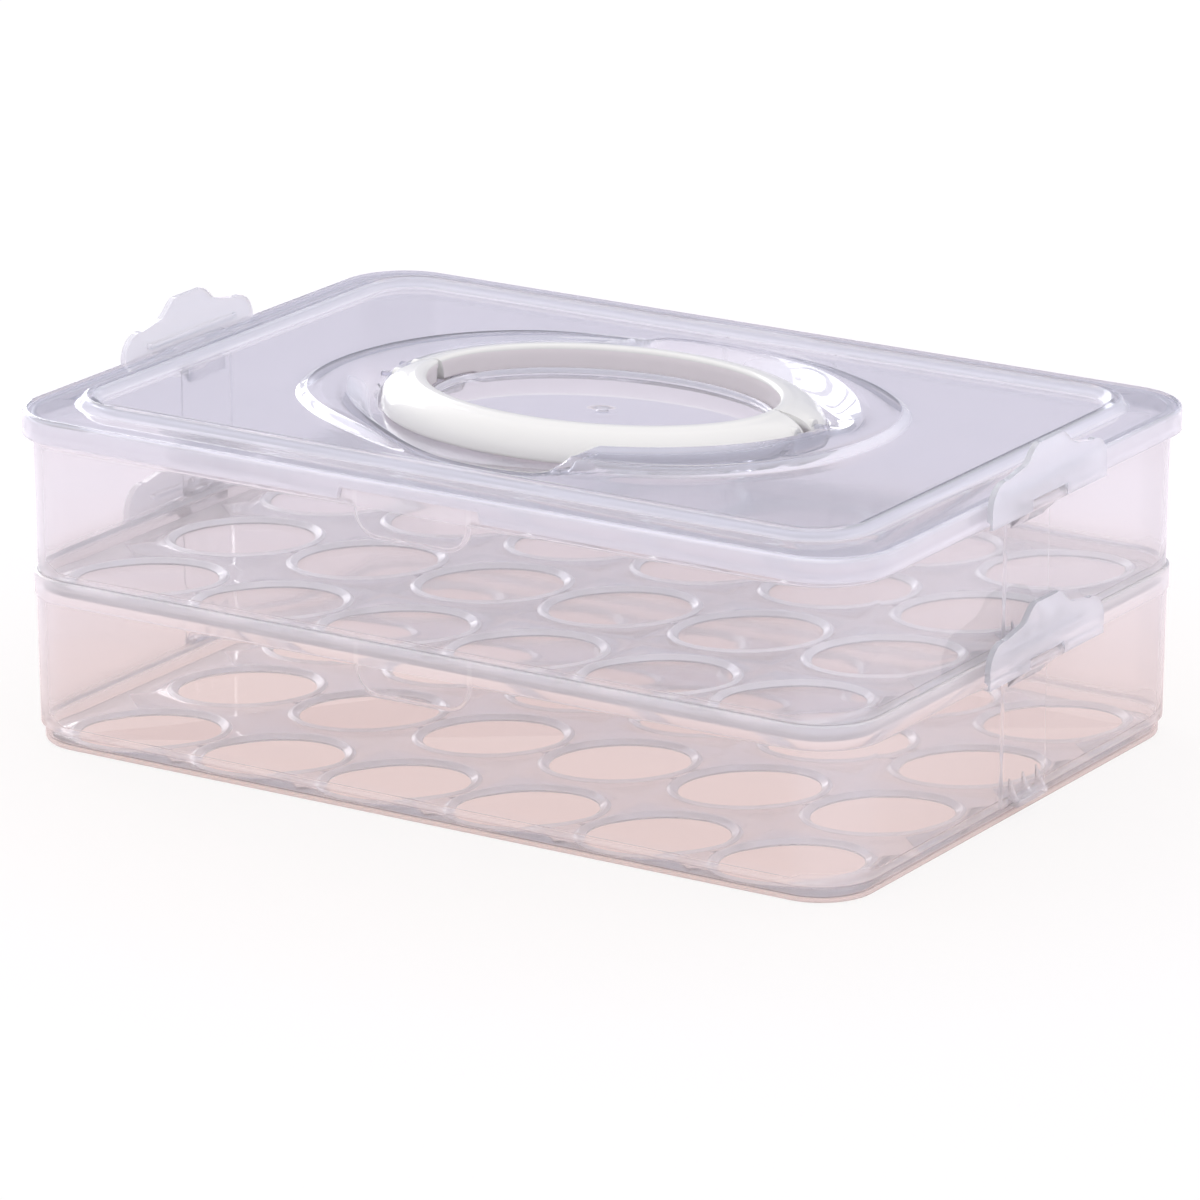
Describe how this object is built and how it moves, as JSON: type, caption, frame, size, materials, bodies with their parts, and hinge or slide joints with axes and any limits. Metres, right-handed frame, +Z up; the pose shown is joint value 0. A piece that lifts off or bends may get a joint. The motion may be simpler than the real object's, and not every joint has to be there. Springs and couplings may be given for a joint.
{
  "type": "deviled egg carrier",
  "caption": "Two-tier clear egg carrier: nesting bins with egg trays, clip-on lid with finger wells, fold-up half-ring handle and hinged end latches.",
  "frame": {"origin": "middle of the lower bin's underside, on the surface the carrier stands on", "axes": "+X along the long side, +Y to the back, +Z up"},
  "size_m": [0.352, 0.241, 0.1341],
  "materials": {
    "bin_plastic": "clear, slightly frosted polypropylene",
    "tray_plastic": "clear, slightly frosted polypropylene",
    "lid_plastic": "clear, slightly frosted polypropylene",
    "handle_plastic": "smooth cream-white",
    "latch_plastic": "frosted clear polypropylene"
  },
  "bodies": {
    "lower_bin": {"lower_bin": "bin_plastic"},
    "lower_egg_tray": {"lower_egg_tray": "tray_plastic"},
    "upper_bin": {"upper_bin": "bin_plastic"},
    "upper_egg_tray": {"upper_egg_tray": "tray_plastic"},
    "lid": {"lid": "lid_plastic"},
    "front_handle_half": {"front_handle_half": "handle_plastic"},
    "back_handle_half": {"back_handle_half": "handle_plastic"},
    "lower_left_latch": {"lower_left_latch": "latch_plastic"},
    "lower_right_latch": {"lower_right_latch": "latch_plastic"},
    "upper_left_latch": {"upper_left_latch": "latch_plastic"},
    "upper_right_latch": {"upper_right_latch": "latch_plastic"}
  },
  "joints": [
    {"name": "upper_bin_lift", "type": "slide", "parent": "lower_bin", "child": "upper_bin", "axis": [0, 0, 1], "range_m": [0, 0.08]},
    {"name": "lid_lift", "type": "slide", "parent": "upper_bin", "child": "lid", "axis": [0, 0, 1], "range_m": [0, 0.06]},
    {"name": "lower_tray_lift", "type": "slide", "parent": "lower_bin", "child": "lower_egg_tray", "axis": [0, 0, 1], "range_m": [0, 0.045]},
    {"name": "upper_tray_lift", "type": "slide", "parent": "upper_bin", "child": "upper_egg_tray", "axis": [0, 0, 1], "range_m": [0, 0.045]},
    {"name": "lower_left_latch_hinge", "type": "hinge", "parent": "lower_bin", "child": "lower_left_latch", "pos_m": [-0.1736, 0, 0.0573], "axis": [0, -1, 0], "range_deg": [0, 100]},
    {"name": "lower_right_latch_hinge", "type": "hinge", "parent": "lower_bin", "child": "lower_right_latch", "pos_m": [0.1736, 0, 0.0573], "axis": [0, 1, 0], "range_deg": [0, 100]},
    {"name": "upper_left_latch_hinge", "type": "hinge", "parent": "upper_bin", "child": "upper_left_latch", "pos_m": [-0.1736, 0, 0.1126], "axis": [0, -1, 0], "range_deg": [0, 100]},
    {"name": "upper_right_latch_hinge", "type": "hinge", "parent": "upper_bin", "child": "upper_right_latch", "pos_m": [0.1736, 0, 0.1126], "axis": [0, 1, 0], "range_deg": [0, 100]},
    {"name": "front_handle_hinge", "type": "hinge", "parent": "lid", "child": "front_handle_half", "pos_m": [0.00033, -0.00629, 0.1202], "axis": [-0.9986, -0.0523, 0], "range_deg": [0, 90]},
    {"name": "back_handle_hinge", "type": "hinge", "parent": "lid", "child": "back_handle_half", "pos_m": [-0.00033, 0.00629, 0.1202], "axis": [0.9986, 0.0523, 0], "range_deg": [0, 90]}
  ]
}
